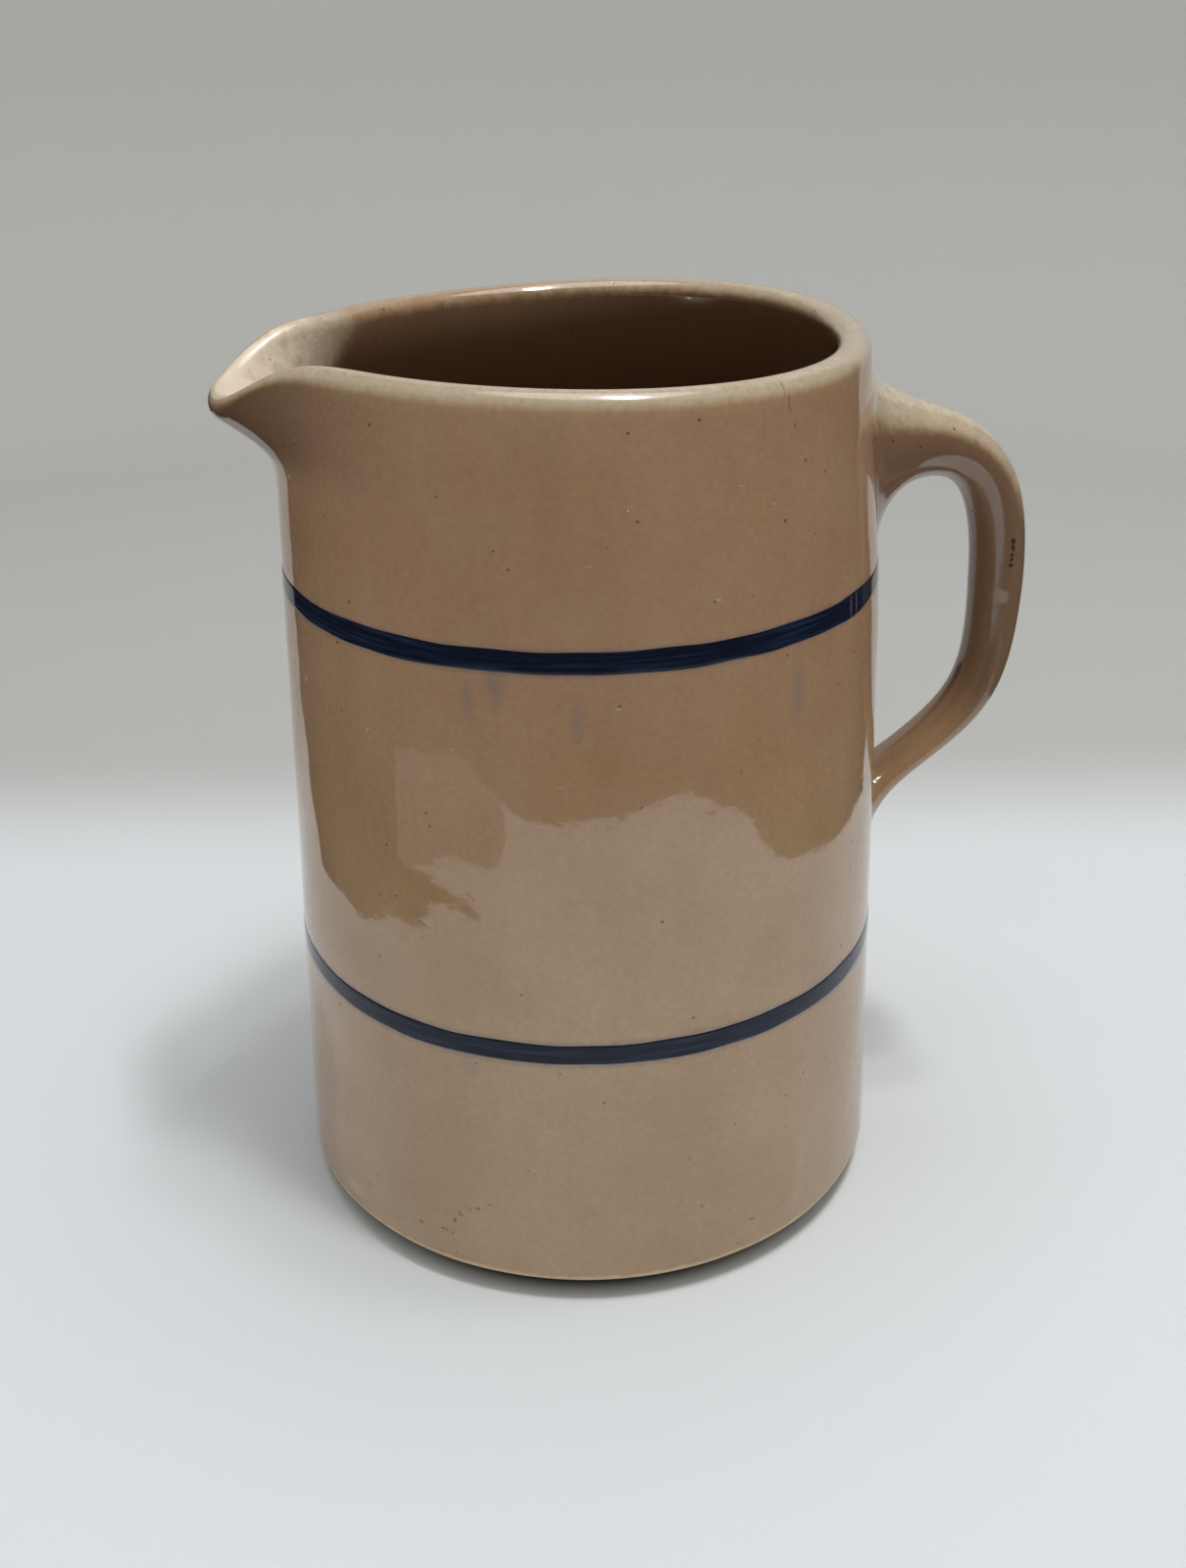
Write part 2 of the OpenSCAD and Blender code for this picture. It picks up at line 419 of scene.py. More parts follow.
def rim_finish(s, az, row, z):
    """Shares of thin glaze with painted light, of painted inner shade, of dirt and of painted shade under the
    lip, each from 0.
    """
    turn = (row - ROLL_START) / ROLL_ROWS
    depth = s.height - z
    aside = math.remainder(az - math.pi, FULL_TURN)
    swell = bell(aside, s.lip_angle, LIP_POWER)
    degrees = math.degrees(az)
    back = plateau(*BACK, degrees)
    # Thin glaze starts further in on the lip, and ends further in at the back
    thin = plateau((0.45 * swell - 0.15, 0.34 + 0.3 * swell), (0.66, 1.0 + 0.1 * back), turn)
    thin *= 1 - BACK_LOSS * back
    # Painted shade on the flank under the lip
    shade_mix = bell(aside, LIP_SHADE_ANGLE, 2) * plateau(*LIP_SHADE_ROLL, turn)
    inside = 0
    if turn > 0.5:
        narrowed = max(CHANNEL_NARROWEST, CHANNEL_WIDEST - depth / CHANNEL_DEPTH)
        channel = bell(aside, CHANNEL_ANGLE * narrowed, CHANNEL_POWER)
        channel *= 1 - smooth(CHANNEL_FADE, CHANNEL_DEPTH, depth)
        # The pouring channel is paler still, partly painted light
        thin = max(thin, WORN_AND_LIGHT_CHANNEL * channel)
        # The painted inner shade is lifted just under the rim and kept off the channel
        drained = INSIDE_LIFT * (1 - smooth(*INSIDE_LIFT_FADE, depth))
        inside = smooth(0.68, 1.04 + 0.22 * back, turn) * (1 - max(channel, drained))
    dirt = DIRT_STRENGTH * hump(*DIRT_ROLL, turn) * plateau(*DIRTY, degrees)
    return thin, inside, dirt, shade_mix


def pull_lip(piece, s):
    """Pull the lip out of the spun wall and give rim and wall their hand-made unevenness."""
    rows = row_finder(wall_section(s, math.pi))
    sections = {}
    finish = []
    for v in piece.data.vertices:
        az = math.atan2(v.co.y, v.co.x)
        row = rows.find((math.hypot(v.co.x, v.co.y), 0, v.co.z))[1]
        key = round(az, 5)
        if key not in sections:
            sections[key] = wall_section(s, math.remainder(az - math.pi, FULL_TURN))
        r, z = sections[key][row]
        finish.append(rim_finish(s, az, row, z))
        if EDGE_START <= row < ROLL_START:
            r += unevenness(s, az, z)
        r += sway(s, az, z) if r > 0 else 0
        z += rim_lift(az) * smooth(SWAY_LOW, s.height, z)
        v.co = (r * math.cos(az), r * math.sin(az), z)
    # Layers: thin glaze with painted light, painted inner shade, dirt, painted shade under the lip
    for name, values in zip(("thin_glaze_and_light", "inside", "dirt", "painted_shade"), zip(*finish)):
        write_layer(piece, name, values)
    piece.data.update()


# Shape of the strap

# Depth of the spine's furthest middle below its upper end
MIDDLE_DROP = 0.0405
# Control points of its upper bend, from the furthest reach and the upper end's level
UPPER_BEND = Vector((-0.0135, 0.0015)), Vector((0, -0.0025))
# Control points of its lower bend, from the furthest reach and the lower end's level
LOWER_BEND = Vector((0, 0.026)), Vector((-0.0065, 0.026))


def strap_spines(s):
    """Control points of the two cubic curves of the strap's spine, in the XZ plane."""
    start = s.rim_d / 2 - s.wall / 2
    top = s.height - s.handle_top
    high = Vector((s.handle_reach, top))
    low = Vector((s.handle_reach, s.handle_foot))
    middle = Vector((s.handle_reach, top - MIDDLE_DROP))
    upper = Vector((start, top)), high + UPPER_BEND[0], high + UPPER_BEND[1], middle
    lower = middle, low + LOWER_BEND[0], low + LOWER_BEND[1], Vector((start, s.handle_foot))
    return upper, lower


def cubic(p, u):
    """Point and direction of a cubic curve at u."""
    v = 1 - u
    point = v * v * v * p[0] + 3 * v * v * u * p[1] + 3 * v * u * u * p[2] + u * u * u * p[3]
    heading = v * v * (p[1] - p[0]) + 2 * v * u * (p[2] - p[1]) + u * u * (p[3] - p[2])
    return point, heading.normalized()


# Swell of the strap where it is pressed on to the wall, and how far the swell reaches
UPPER_FLARE = (1.6, 0.0085)
LOWER_FLARE = (0.6, 0.0032)
# Clay wiped down the wall inside the upper end and under the lower end: how far down, how far out it starts
WEB = (0.006, 0.0045)
TAIL = (0.0125, 0.0048)
# Radius of the joint that is smoothed on to the wall, and how deep the ends sit in it
ROOT_FILLET = 0.003
ROOT_DEPTH = 0.0035
# Share of thin glaze and painted light along the strap's crest, and the places on the spine over which it
# fades, so that it lies on the strap's top
STRAP_THIN_AND_LIGHT = 1.2
STRAP_TOP_FADE = 0.45, 1.0
# Share of painted shade on the strap, and the places over which it fades towards the lower end
STRAP_SHADE = 0.58
STRAP_SHADE_FADE = 1.3, 1.75


def strap_point(s, spines, place, turn):
    """Point of the strap's skin: place runs 0 to 2 along the spine, turn goes round it."""
    upper, lower = spines
    half, u = (upper, place) if place < 1 else (lower, place - 1)
    middle, heading = cubic(half, u)
    normal = Vector((-heading.y, heading.x))
    if place < 1:
        thick = s.strap_top_t + (s.strap_mid_t - s.strap_top_t) * u
        flare, reach = UPPER_FLARE
        wipe, wipe_reach = WEB
        wipe *= max(0, -math.cos(turn))
    else:
        thick = s.strap_mid_t + (s.strap_foot_t - s.strap_mid_t) * u
        flare, reach = LOWER_FLARE
        wipe, wipe_reach = TAIL
        wipe *= max(0, math.cos(turn))
    width = s.strap_top_w + (s.strap_foot_w - s.strap_top_w) * place / 2

    def rounded(x):
        return math.copysign(abs(x) ** (2 / STRAP_POWER), x)

    out = thick / 2 * rounded(math.cos(turn))
    side = width / 2 * rounded(math.sin(turn)) * (1 + STRAP_EGG * math.cos(turn))

    def skin(scale):
        return Vector((middle.x + normal.x * out * scale, side * scale, middle.y + normal.y * out * scale))

    def wall_r(p):
        return outer_r(s, p.z) + sway(s, math.atan2(p.y, p.x), p.z)

    p = skin(1)
    gap = max(-ROOT_DEPTH, math.hypot(p.x, p.y) - wall_r(p))
    near = max(0, gap)
    over = max(0, ROOT_FILLET - near)
    fillet = ROOT_FILLET - math.sqrt(ROOT_FILLET ** 2 - over ** 2)
    p = skin(1 + flare * math.exp(-near / reach) + fillet / math.hypot(out, side))
    p.z -= wipe * math.exp(-near / wipe_reach)
    grown = (wall_r(p) + gap) / math.hypot(p.x, p.y)
    p.x *= grown
    p.y *= grown
    return p


def bend_strap(piece, s):
    """Bend the straight bar of clay along the spine and flare its ends on to the wall."""
    spines = strap_spines(s)
    thin = []
    shade_mix = []
    for v in piece.data.vertices:
        place = 1 - math.cos(math.pi * round(v.co.z / MM) / STRAP_RINGS)
        turn = math.atan2(v.co.y, v.co.x)
        # Thin glaze with painted light on the strap's top, painted shade along the strap
        crest = smooth(0.1, 1.0, math.cos(turn))
        thin.append(STRAP_THIN_AND_LIGHT * crest * (1 - smooth(*STRAP_TOP_FADE, place)))
        shade_mix.append(STRAP_SHADE * (1 - smooth(*STRAP_SHADE_FADE, place)))
        v.co = strap_point(s, spines, place, turn)
    write_layer(piece, "thin_glaze_and_light", thin)
    write_layer(piece, "painted_shade", shade_mix)
    piece.data.update()


# Materials

def add(tree, kind, inputs, out=None, **settings):
    """Add a node, set its properties, set or link its inputs, and give the output asked for."""
    node = tree.nodes.new(kind)
    for name, value in settings.items():
        setattr(node, name, value)
    free = [socket for socket in node.inputs if socket.enabled]
    for key, value in inputs.items():
        socket = free[key] if isinstance(key, int) else next(s for s in free if s.name == key)
        if isinstance(value, bpy.types.NodeSocket):
            tree.links.new(value, socket)
        elif socket.type == "RGBA":
            socket.default_value = (*value[:3], 1)
        else:
            socket.default_value = value
    made = [socket for socket in node.outputs if socket.enabled and out in (None, socket.name)]
    return made[0] if made else None


def new_tree(name):
    """A new material with an empty node tree."""
    material = bpy.data.materials.new(name)
    material.use_nodes = True
    material.node_tree.nodes.clear()
    return material, material.node_tree


# Marks reach this far into the clay, so that none ends short of the skin
MARK_DEPTH = 4 * MM


def on_wall(degrees, z, across, tall):
    """Place, turn and half sizes of a mark on the wall."""
    turn = math.radians(degrees)
    r = outer_r(sizes(), z)
    return Vector((r * math.cos(turn), r * math.sin(turn), z)), turn, (MARK_DEPTH, across, tall)


# Marks on the wall: azimuth in degrees, height, half width and half height in metres.
# Azimuths and heights were computed outside this file, from places in the photo.
# First the places where cobalt ran down from a band
RUNS = (
    (-114.8, 0.1630, 0.0032, 0.0075),
    (-119.8, 0.1600, 0.0018, 0.0060),
    (-101.0, 0.1565, 0.0024, 0.0070),
    (-59.5, 0.1555, 0.0028, 0.0110),
    (-121.6, 0.0670, 0.0022, 0.0040),
)
# Old dirt in the pores near the foot, and two spots at the handle
STAINS = (
    (-147.3, 0.0176, 0.0011, 0.0010),
    (-138.4, 0.0138, 0.0012, 0.0006),
    (-134.3, 0.0146, 0.0010, 0.0006),
    (-133.1, 0.0148, 0.0007, 0.0006),
    (-128.4, 0.0157, 0.0013, 0.0006),
    (-126.2, 0.0193, 0.0006, 0.0010),
    (-124.6, 0.0218, 0.0007, 0.0010),
    (-123.0, 0.0240, 0.0011, 0.0006),
    (-121.0, 0.0254, 0.0012, 0.0005),
    (-118.6, 0.0268, 0.0015, 0.0004),
    (-135.6, 0.0543, 0.0006, 0.0011),
    (-62.4, 0.0144, 0.0010, 0.0010),
    (-68.2, 0.0151, 0.0009, 0.0010),
    (-81.4, 0.0394, 0.0006, 0.0006),
    (-103.5, 0.0080, 0.0011, 0.0006),
    (-101.2, 0.0080, 0.0005, 0.0005),
    (-29.8, 0.1815, 0.0009, 0.0016),
    (-29.3, 0.1775, 0.0008, 0.0012),
)
# Crack that runs down from the rim, and the pore at its end
CRACK = (
    (-64.3, 0.2238, 0.0004, 0.0024),
    (-63.4, 0.2206, 0.0004, 0.0024),
    (-61.9, 0.2153, 0.0005, 0.0010),
)
# Two scratches across the upper band
SCRATCHES = (
    (-43.2, 0.1690, 0.0005, 0.0045),
    (-40.8, 0.1691, 0.0005, 0.0042),
)
# Places where the glaze is worn: a patch at the foot and the scratches' ends
WORN = (
    (-153.0, 0.0120, 0.0060, 0.0025),
    *SCRATCHES,
)
# Open blisters in the glaze
PITS = (
    (-73.4, 0.2049, 0.0009, 0.0005),
    (-66.6, 0.1996, 0.0009, 0.0005),
    (-77.0, 0.1810, 0.0011, 0.0006),
    (-98.8, 0.1907, 0.0009, 0.0006),
    (-92.5, 0.2028, 0.0005, 0.0004),
    (-85.4, 0.2066, 0.0005, 0.0004),
)


def spots(tree, place, marks):
    """Soft spots, 1 in the middle of a mark and 0 at its edge."""
    whole = None
    for location, turn, scale in marks:
        near = add(
            tree,
            "ShaderNodeMapping",
            {"Vector": place, "Location": location, "Rotation": (0, 0, turn), "Scale": scale},
            vector_type="TEXTURE",
        )
        spot = add(tree, "ShaderNodeTexGradient", {"Vector": near}, "Fac", gradient_type="SPHERICAL")
        if whole is None:
            whole = spot
        else:
            whole = add(tree, "ShaderNodeMath", {0: whole, 1: spot}, operation="MAXIMUM")
    return whole


# Spacing of the patterns in the glaze, the slip and the dirt
CLOUD_SPACING = 0.034
BREATH_SPACING = 0.019
RUN_SPACING = 0.012
GRAIN_SPACING = 0.0016
FRAY_SPACING = 0.0042
PEPPER_SPACING = 0.0011
SPECK_SPACING = 0.0068
CLOT_SPACING = 0.0034
TATTER_SPACING = 0.0022
CRUMB_SPACING = 0.0009
PEEL_SPACING = 0.0045
PINHOLE_SPACING = 0.014
FUZZ_SPACING = 0.003
BRUSH_SPACING = 0.020
# How far the edges of marks are torn aside
TATTER_REACH = 2 * MM
# Heights between which the grey breath sets in
BREATH_LOW = 0.08
BREATH_HIGH = 0.18
# Heights between which the bare clay of the foot ends, and how far that edge strays
HEM_LOW = 0.0068
HEM_HIGH = 0.0082
HEM_FRAY = 0.0026
# Relief of the melt in millimetres
PEEL_HEIGHT = 0.03
PINHOLE_DEPTH = 0.25
SPECK_DEPTH = 0.08
PIT_DEPTH = 0.5
# Roughness of the glaze on the wall, on the duller strap and where it drew thin, and of bare clay
WALL_POLISH = 0.045
STRAP_POLISH = 0.12
THIN_POLISH = 0.18
CLAY_POLISH = 0.75
# Refraction of the glassy coat, which sets how strongly it mirrors, over the clay and over the slip
GLAZE_IOR = 1.8
SLIP_IOR = 1.33


def glaze_surface(tree, tan, marks=(), polish=WALL_POLISH):
    """Feldspar glaze, dipped and fired once on buff stoneware: tan and glossy where it lies thick.

    It draws thin and cream over edges, breathes grey towards the rim, runs a little downwards and
    is peppered with iron specks and pinholes. Its layers also paint shade under the lip, on the strap
    and inside, and light on the cream tops of rim and strap. Gives place, colour, roughness and height in mm.
    """
    c = colours()
    place = add(tree, "ShaderNodeTexCoord", {}, "Object")
    z = add(tree, "ShaderNodeSeparateXYZ", {0: place}, "Z")

    # Tan that is warmer where the glaze pooled, greyer in clouds towards the rim
    cloud = add(tree, "ShaderNodeTexNoise", {"Vector": place, "Scale": 1 / CLOUD_SPACING, "Detail": 4.0})
    warm = add(tree, "ShaderNodeMapRange", {"Value": cloud, "From Min": 0.40, "From Max": 0.68})
    shade = add(tree, "ShaderNodeMix", {"Factor": warm, "A": tan, "B": c.glaze_warm}, data_type="RGBA")
    breath = add(
        tree,
        "ShaderNodeTexNoise",
        {"Vector": place, "Scale": 1 / BREATH_SPACING, "Detail": 3.0, "Distortion": 0.6},
    )
    grey = add(
        tree, "ShaderNodeMapRange", {"Value": breath, "From Min": 0.05, "From Max": 0.80, "To Max": 0.8}
    )
    high = add(
        tree,
        "ShaderNodeMapRange",
        {"Value": z, "From Min": BREATH_LOW, "From Max": BREATH_HIGH},
        interpolation_type="SMOOTHSTEP",
    )
    grey = add(tree, "ShaderNodeMath", {0: grey, 1: high}, operation="MULTIPLY")
    shade = add(tree, "ShaderNodeMix", {"Factor": grey, "A": shade, "B": c.glaze_grey}, data_type="RGBA")

    # Faint runs down the wall and fine mottling
    fall = add(tree, "ShaderNodeMapping", {"Vector": place, "Scale": (1, 1, 0.1)})
    run = add(tree, "ShaderNodeTexNoise", {"Vector": fall, "Scale": 1 / RUN_SPACING, "Detail": 3.0})
    run = add(
        tree,
        "ShaderNodeMapRange",
        {"Value": run, "From Min": 0.3, "From Max": 0.72, "To Min": 0.965, "To Max": 1.035},
    )
    grain = add(tree, "ShaderNodeTexNoise", {"Vector": place, "Scale": 1 / GRAIN_SPACING, "Detail": 2.0})
    mottle = add(
        tree,
        "ShaderNodeMapRange",
        {"Value": grain, "From Min": 0.3, "From Max": 0.7, "To Min": 0.94, "To Max": 1.06},
    )
    tone = add(tree, "ShaderNodeMath", {0: run, 1: mottle}, operation="MULTIPLY")
    shade = add(
        tree, "ShaderNodeMix", {"Factor": 1.0, "A": shade, "B": tone}, data_type="RGBA", blend_type="MULTIPLY"
    )

    # Painted shade under the lip, along the strap and inside; cream with an ochre fringe where the glaze is
    # thin, partly painted light on the tops of rim and strap and in the pouring channel
    for layer, tint in (("painted_shade", c.lip_and_strap_shade), ("inside", c.inside_shade)):
        share = add(tree, "ShaderNodeAttribute", {}, "Fac", attribute_name=layer)
        shade = add(tree, "ShaderNodeMix", {"Factor": share, "A": shade, "B": tint}, data_type="RGBA")
    drawn = add(tree, "ShaderNodeAttribute", {}, "Fac", attribute_name="thin_glaze_and_light")
    fray = add(tree, "ShaderNodeTexNoise", {"Vector": place, "Scale": 1 / FRAY_SPACING, "Detail": 4.0})
    fray = add(tree, "ShaderNodeMath", {0: fray, 1: 0.5, 2: -0.25}, operation="MULTIPLY_ADD")
    salt = add(tree, "ShaderNodeMath", {0: grain, 1: 0.5, 2: 0.75}, operation="MULTIPLY_ADD")
    salt = add(tree, "ShaderNodeMath", {0: fray, 1: 1.6, 2: salt}, operation="MULTIPLY_ADD")
    thin = add(tree, "ShaderNodeMath", {0: drawn, 1: salt}, operation="MULTIPLY")
    worn = add(tree, "ShaderNodeMapRange", {"Value": thin, "From Min": 1.0, "From Max": 1.8})
    fringe = add(
        tree, "ShaderNodeMapRange", {"Value": thin, "From Min": 0.12, "From Max": 0.5, "To Max": 0.5}
    )
    thin = add(
        tree,
        "ShaderNodeMapRange",
        {"Value": thin, "From Min": 0.15, "From Max": 0.90},
        interpolation_type="SMOOTHSTEP",
    )
    for share, tint in ((fringe, c.glaze_ochre), (thin, c.glaze_thin_and_light), (worn, c.glaze_worn_and_light)):
        shade = add(tree, "ShaderNodeMix", {"Factor": share, "A": shade, "B": tint}, data_type="RGBA")

    # Brown pepper in the thin glaze, iron specks everywhere
    pepper = add(tree, "ShaderNodeTexNoise", {"Vector": place, "Scale": 1 / PEPPER_SPACING, "Detail": 3.0})
    pepper = add(
        tree, "ShaderNodeMapRange", {"Value": pepper, "From Min": 0.54, "From Max": 0.76, "To Max": 0.4}
    )
    unworn = add(tree, "ShaderNodeMath", {0: thin, 1: worn}, operation="SUBTRACT")
    pepper = add(tree, "ShaderNodeMath", {0: pepper, 1: unworn}, operation="MULTIPLY", use_clamp=True)
    shade = add(tree, "ShaderNodeMix", {"Factor": pepper, "A": shade, "B": c.glaze_warm}, data_type="RGBA")
    iron = add(tree, "ShaderNodeTexVoronoi", {"Vector": place, "Scale": 1 / SPECK_SPACING})
    speck = add(
        tree,
        "ShaderNodeMapRange",
        {"Value": iron, "From Min": 0.030, "From Max": 0.070, "To Min": 0.75, "To Max": 0.0},
    )
    shade = add(tree, "ShaderNodeMix", {"Factor": speck, "A": shade, "B": c.speck}, data_type="RGBA")

    # Dirt that clings along the rim's edges
    grime = add(tree, "ShaderNodeAttribute", {}, "Fac", attribute_name="dirt")
    clot = add(tree, "ShaderNodeTexNoise", {"Vector": place, "Scale": 1 / CLOT_SPACING, "Detail": 5.0})
    clot = add(tree, "ShaderNodeMapRange", {"Value": clot, "From Min": 0.40, "From Max": 0.72})
    grime = add(tree, "ShaderNodeMath", {0: grime, 1: clot}, operation="MULTIPLY")
    shade = add(tree, "ShaderNodeMix", {"Factor": grime, "A": shade, "B": c.dirt}, data_type="RGBA")

    # Marks of use, with ragged edges
    ragged = add(
        tree, "ShaderNodeTexNoise", {"Vector": place, "Scale": 1 / TATTER_SPACING, "Detail": 3.0}, "Color"
    )
    ragged = add(tree, "ShaderNodeVectorMath", {0: ragged, 1: (0.5, 0.5, 0.5)}, operation="SUBTRACT")
    ragged = add(
        tree,
        "ShaderNodeVectorMath",
        {0: ragged, 1: (TATTER_REACH, TATTER_REACH, TATTER_REACH), 2: place},
        operation="MULTIPLY_ADD",
    )
    crumb = add(tree, "ShaderNodeTexNoise", {"Vector": place, "Scale": 1 / CRUMB_SPACING, "Detail": 2.0})
    crumb = add(tree, "ShaderNodeMapRange", {"Value": crumb, "From Min": 0.46, "From Max": 0.58})
    for places, tint, soft, strength, crumbly in marks:
        mark = spots(tree, ragged, places)
        mark = add(tree, "ShaderNodeMapRange", {"Value": mark, "From Max": soft, "To Max": strength})
        if crumbly:
            mark = add(tree, "ShaderNodeMath", {0: mark, 1: crumb}, operation="MULTIPLY")
        shade = add(tree, "ShaderNodeMix", {"Factor": mark, "A": shade, "B": tint}, data_type="RGBA")

    # Bare clay along the foot's edge, where the glaze was wiped off
    hem = add(tree, "ShaderNodeMath", {0: fray, 1: HEM_FRAY, 2: z}, operation="MULTIPLY_ADD")
    bare = add(
        tree,
        "ShaderNodeMapRange",
        {"Value": hem, "From Min": HEM_LOW, "From Max": HEM_HIGH, "To Min": 1.0, "To Max": 0.0},
    )
    clay = add(
        tree,
        "ShaderNodeMix",
        {"Factor": mottle, "A": c.dirt, "B": c.clay},
        data_type="RGBA",
        clamp_factor=True,
    )
    shade = add(tree, "ShaderNodeMix", {"Factor": bare, "A": shade, "B": clay}, data_type="RGBA")

    # Gloss, duller where the glaze is thin, matt on the clay
    gloss = add(tree, "ShaderNodeMapRange", {"Value": thin, "To Min": polish, "To Max": THIN_POLISH})
    rough = add(tree, "ShaderNodeMix", {"Factor": bare, "A": gloss, "B": CLAY_POLISH}, data_type="FLOAT")

    # Orange peel of the melt, pinholes and the pits of the specks, in mm
    peel = add(tree, "ShaderNodeTexNoise", {"Vector": place, "Scale": 1 / PEEL_SPACING, "Detail": 3.0})
    relief = add(tree, "ShaderNodeMath", {0: peel, 1: PEEL_HEIGHT}, operation="MULTIPLY")
    hole = add(tree, "ShaderNodeTexVoronoi", {"Vector": place, "Scale": 1 / PINHOLE_SPACING})
    hole = add(
        tree,
        "ShaderNodeMapRange",
        {"Value": hole, "From Min": 0.03, "From Max": 0.055, "To Min": -PINHOLE_DEPTH, "To Max": 0.0},
        interpolation_type="SMOOTHSTEP",
    )
    relief = add(tree, "ShaderNodeMath", {0: relief, 1: hole}, operation="ADD")
    relief = add(tree, "ShaderNodeMath", {0: speck, 1: -SPECK_DEPTH, 2: relief}, operation="MULTIPLY_ADD")
    return place, shade, rough, relief


def finish_shader(tree, shade, rough, relief, ior=GLAZE_IOR):
    """Glassy coat over the colour, with the relief of the melt."""
    normal = add(tree, "ShaderNodeBump", {"Strength": 1.0, "Distance": MM, "Height": relief})
    shader = add(
        tree,
        "ShaderNodeBsdfPrincipled",
        {"Base Color": shade, "Roughness": rough, "IOR": ior, "Normal": normal},
    )
    add(tree, "ShaderNodeOutputMaterial", {"Surface": shader})


# How far cobalt bled out of each band, and how strongly, and how far under the band it starts
UPPER_VEIL = 0.8 * MM, 0.5
LOWER_VEIL = 1.4 * MM, 0.75
VEIL_OVERLAP = 0.3 * MM


def wall_glaze():
    """Tan glaze of the wall, with its runs of cobalt, stains and worn places."""
    c = colours()
    material, tree = new_tree("glossy_tan_glaze")
    marks = (
        ([on_wall(*mark) for mark in RUNS], c.cobalt_veil, 0.9, 0.4, False),
        ([on_wall(*mark) for mark in STAINS], c.dirt, 0.3, 0.85, True),
        ([on_wall(*mark) for mark in CRACK], c.dirt, 0.8, 0.5, False),
        ([on_wall(*mark) for mark in WORN], c.glaze_thin_and_light, 0.6, 0.4, False),
    )
    place, shade, rough, relief = glaze_surface(tree, c.glaze, marks)
    pit = spots(tree, place, [on_wall(*mark) for mark in PITS])
    relief = add(tree, "ShaderNodeMath", {0: pit, 1: -PIT_DEPTH, 2: relief}, operation="MULTIPLY_ADD")

    # Cobalt that bled a little into the glaze above and below the bands
    s = sizes()
    z = add(tree, "ShaderNodeSeparateXYZ", {0: place}, "Z")
    fuzz = add(tree, "ShaderNodeTexNoise", {"Vector": place, "Scale": 1 / FUZZ_SPACING, "Detail": 3.0})
    for middle, reach, strength in ((s.upper_band_z, *UPPER_VEIL), (s.lower_band_z, *LOWER_VEIL)):
        away = add(tree, "ShaderNodeMath", {0: z, 1: middle}, operation="SUBTRACT")
        away = add(tree, "ShaderNodeMath", {0: away}, operation="ABSOLUTE")
        veil = add(
            tree,
            "ShaderNodeMapRange",
            {
                "Value": away,
                "From Min": s.band_w / 2 - VEIL_OVERLAP,
                "From Max": s.band_w / 2 + reach,
                "To Min": strength,
                "To Max": 0.0,
            },
        )
        veil = add(tree, "ShaderNodeMath", {0: veil, 1: fuzz}, operation="MULTIPLY")
        shade = add(tree, "ShaderNodeMix", {"Factor": veil, "A": shade, "B": c.cobalt_thin}, data_type="RGBA")
    finish_shader(tree, shade, rough, relief)
    return material


# Chips on the handle's outer edge: X, Y and Z, half width and half height
HANDLE_CHIPS = (
    (0.1102, -0.0085, 0.1681, 0.0007, 0.0008),
    (0.1100, -0.0085, 0.1668, 0.0005, 0.0011),
    (0.1104, -0.0085, 0.1664, 0.0005, 0.0010),
    (0.1101, -0.0085, 0.1646, 0.0007, 0.0006),
    (0.1101, -0.0085, 0.1634, 0.0005, 0.0006),
    (0.1101, -0.0085, 0.1617, 0.0006, 0.0009),
    (0.1158, -0.0060, 0.1465, 0.0012, 0.0016),
    (0.1085, -0.0060, 0.1205, 0.0014, 0.0018),
)


def handle_glaze():
    """The same glaze, duller on the strap, with its painted shade, and chipped along its outer edge."""
    c = colours()
    material, tree = new_tree("glossy_tan_glaze_strap")
    chips = [(Vector(chip[:3]), 0, (chip[3], MARK_DEPTH, chip[4])) for chip in HANDLE_CHIPS]
    marks = ((chips, c.speck, 0.3, 0.9, False),)
    _, shade, rough, relief = glaze_surface(tree, c.glaze_strap, marks, STRAP_POLISH)
    finish_shader(tree, shade, rough, relief)
    return material


def cobalt_slip(name, thinness):
    """Cobalt slip brushed on as the pitcher turned, under the glaze: streaks run round the band."""
    c = colours()
    material, tree = new_tree("cobalt_slip_" + name)
    place, _, rough, relief = glaze_surface(tree, c.glaze)
    around = add(tree, "ShaderNodeMapping", {"Vector": place, "Scale": (1, 1, 28)})
    brush = add(tree, "ShaderNodeTexNoise", {"Vector": around, "Scale": 1 / BRUSH_SPACING, "Detail": 4.0})
    drag = add(
        tree, "ShaderNodeMapRange", {"Value": brush, "From Min": 0.45, "From Max": 0.80, "To Max": thinness}
    )
    slip = add(tree, "ShaderNodeMix", {"Factor": drag, "A": c.cobalt, "B": c.cobalt_thin}, data_type="RGBA")
    scratch = spots(tree, place, [on_wall(*mark) for mark in SCRATCHES])
    scratch = add(tree, "ShaderNodeMapRange", {"Value": scratch, "From Max": 0.7, "To Max": 0.3})
    slip = add(tree, "ShaderNodeMix", {"Factor": scratch, "A": slip, "B": c.glaze_grey}, data_type="RGBA")
    finish_shader(tree, slip, rough, relief, SLIP_IOR)
    return material


# Distances behind the pitcher between which the paper fades from white to grey
FADE_START = 0.15
FADE_END = 0.26
# Radii between which a painted contact shadow darkens the paper towards the foot, under the wall's lower edge
SHADE_START = 0.0705
SHADE_END = 0.0775
SHADE_LEVEL = 0.08


